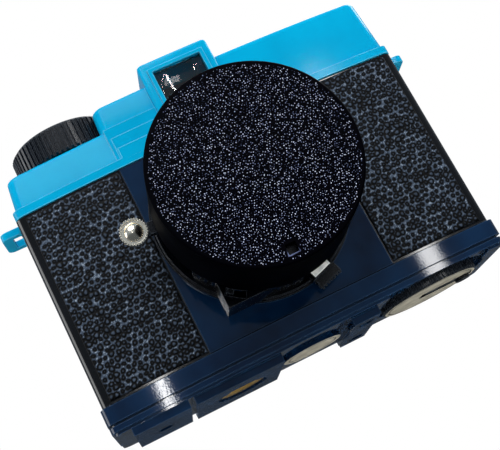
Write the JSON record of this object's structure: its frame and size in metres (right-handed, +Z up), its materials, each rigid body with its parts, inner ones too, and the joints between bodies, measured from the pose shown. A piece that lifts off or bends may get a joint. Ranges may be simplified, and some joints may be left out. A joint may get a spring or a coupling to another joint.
{
  "type": "toy film camera",
  "caption": "Toy 35 mm film camera with a bowed plastic body, stepped top cover with a viewfinder, a capped focusing lens, winding and rewinding controls and a removable back.",
  "frame": {"origin": "centre of the bounding box in plan, on the plane that the ribbed pads stand on", "axes": "+Z up from the base to the top cover; -Y towards the subject, along the lens; +X to the right of somebody who faces the lens"},
  "size_m": [0.1102, 0.063, 0.0783],
  "materials": {
    "teal_plastic": "gloss",
    "black_plastic": "gloss",
    "grained_skin": "grained, satin",
    "stippled_plastic": "stippled",
    "inner_plastic": "matt",
    "white_plastic": "satin",
    "clear_plastic": "polished",
    "chrome": "polished",
    "brass": "turned",
    "steel": "plated",
    "foam": "soft"
  },
  "bodies": {
    "camera": {"main_body": "black_plastic", "lens_board": "black_plastic", "grip_left": "grained_skin", "grip_right": "grained_skin", "bottom_cover": "black_plastic", "top_cover": "teal_plastic", "strap_lugs": "teal_plastic", "finder_frame": "teal_plastic", "finder_front_lens": "clear_plastic", "finder_mask": "inner_plastic", "finder_rear_lens": "clear_plastic", "finder_eyepiece": "black_plastic", "counter_window": "clear_plastic", "cover_screws": "steel", "base_screws": "steel", "tripod_socket": "brass", "light_baffle": "inner_plastic", "lens_flange": "black_plastic", "shutter_housing": "black_plastic", "lens_barrel": "black_plastic", "shutter_plate": "inner_plastic", "shutter_spring": "steel", "button_spring": "steel"},
    "focus": {"focus_ring": "black_plastic"},
    "optics": {"lens_cell": "inner_plastic", "front_lens": "clear_plastic", "rear_lens": "clear_plastic", "lens_retainer": "inner_plastic"},
    "cap": {"lens_cap": "stippled_plastic"},
    "release": {"shutter_lever": "black_plastic", "shutter_button": "chrome"},
    "blade": {"shutter_blade": "steel"},
    "stop_lever": {"aperture_lever": "black_plastic"},
    "stop_plate": {"aperture_plate": "steel"},
    "speed": {"speed_lever": "black_plastic"},
    "wind": {"advance_wheel": "black_plastic", "take_up_spool": "inner_plastic"},
    "pawl": {"click_pawl": "steel"},
    "sprocket": {"film_sprocket": "white_plastic"},
    "counter": {"counter_dial": "white_plastic"},
    "rewind": {"rewind_knob": "black_plastic", "rewind_fork": "steel"},
    "crank": {"rewind_crank": "steel"},
    "grip": {"crank_grip": "black_plastic"},
    "button": {"rewind_button": "black_plastic"},
    "back": {"back_cover": "black_plastic", "back_skin": "grained_skin", "back_seal": "foam"},
    "plate": {"pressure_plate": "steel", "pressure_spring": "steel"},
    "lock": {"back_lock": "black_plastic"}
  },
  "joints": [
    {"name": "focus_turn", "type": "hinge", "parent": "camera", "child": "focus", "pos_m": [0, -0.02, 0.0357], "axis": [0, -1, 0], "range_deg": [0, 60]},
    {"name": "optics_slide", "type": "slide", "parent": "camera", "child": "optics", "axis": [0, -1, 0], "range_m": [0, 0.0014]},
    {"name": "cap_pull", "type": "slide", "parent": "focus", "child": "cap", "axis": [0, -1, 0], "range_m": [0, 0.025]},
    {"name": "shutter_release", "type": "hinge", "parent": "camera", "child": "release", "pos_m": [0, -0.008, 0.0357], "axis": [0, -1, 0], "range_deg": [0, 22], "stiffness_Nm_per_rad": 0.02, "springref_deg": -11.46},
    {"name": "blade_swing", "type": "hinge", "parent": "camera", "child": "blade", "pos_m": [0.0105, 0.0007, 0.0417], "axis": [0, -1, 0], "range_deg": [0, 55]},
    {"name": "aperture_select", "type": "hinge", "parent": "camera", "child": "stop_lever", "pos_m": [0, -0.006, 0.0357], "axis": [0, -1, 0], "range_deg": [0, 6]},
    {"name": "stop_swing", "type": "hinge", "parent": "camera", "child": "stop_plate", "pos_m": [-0.0086, -0.0006, 0.0277], "axis": [0, -1, 0], "range_deg": [0, 24]},
    {"name": "speed_select", "type": "hinge", "parent": "camera", "child": "speed", "pos_m": [0, -0.005, 0.0357], "axis": [0, -1, 0], "range_deg": [-4.5, 0]},
    {"name": "film_advance", "type": "hinge", "parent": "camera", "child": "wind", "pos_m": [-0.0321, 0.013, 0.07], "axis": [0, 0, 1], "continuous": true},
    {"name": "pawl_click", "type": "hinge", "parent": "camera", "child": "pawl", "pos_m": [-0.0226, 0.006, 0.0585], "axis": [0, 0, 1], "range_deg": [0, 12], "stiffness_Nm_per_rad": 0.0005},
    {"name": "sprocket_turn", "type": "hinge", "parent": "camera", "child": "sprocket", "pos_m": [-0.0246, 0.02096, 0.035], "axis": [0, 0, 1], "continuous": true},
    {"name": "counter_turn", "type": "hinge", "parent": "camera", "child": "counter", "pos_m": [-0.0156, 0.0192, 0.064], "axis": [0, 0, 1], "continuous": true},
    {"name": "film_rewind", "type": "hinge", "parent": "camera", "child": "rewind", "pos_m": [0.0322, 0.013, 0.005], "axis": [0, 0, 1], "continuous": true},
    {"name": "crank_fold", "type": "hinge", "parent": "rewind", "child": "crank", "pos_m": [0.0322, 0.013, 0.00145], "axis": [0, 1, 0], "range_deg": [0, 120]},
    {"name": "crank_grip_spin", "type": "hinge", "parent": "crank", "child": "grip", "pos_m": [0.0412, 0.013, 0.0005], "axis": [0, 0, 1], "continuous": true},
    {"name": "rewind_release", "type": "slide", "parent": "camera", "child": "button", "axis": [0, 0, 1], "range_m": [0, 0.0015], "stiffness_N_per_m": 400, "springref_m": -0.001, "deforming": ["button_spring"]},
    {"name": "back_pull", "type": "slide", "parent": "camera", "child": "back", "axis": [0, 1, 0], "range_m": [0, 0.045]},
    {"name": "plate_press", "type": "slide", "parent": "back", "child": "plate", "axis": [0, 1, 0], "range_m": [0, 0.0006], "stiffness_N_per_m": 500, "springref_m": -0.001},
    {"name": "back_lock_slide", "type": "slide", "parent": "camera", "child": "lock", "axis": [0, 0, 1], "range_m": [0, 0.006]}
  ],
  "couplings": [
    {"joint": "optics_slide", "follows": "focus_turn", "m_per_rad": 0.00127},
    {"joint": "blade_swing", "follows": "shutter_release", "ratio": 2.5},
    {"joint": "stop_swing", "follows": "aperture_select", "ratio": 4},
    {"joint": "sprocket_turn", "follows": "film_advance", "ratio": 1},
    {"joint": "counter_turn", "follows": "film_advance", "ratio": -0.025}
  ]
}
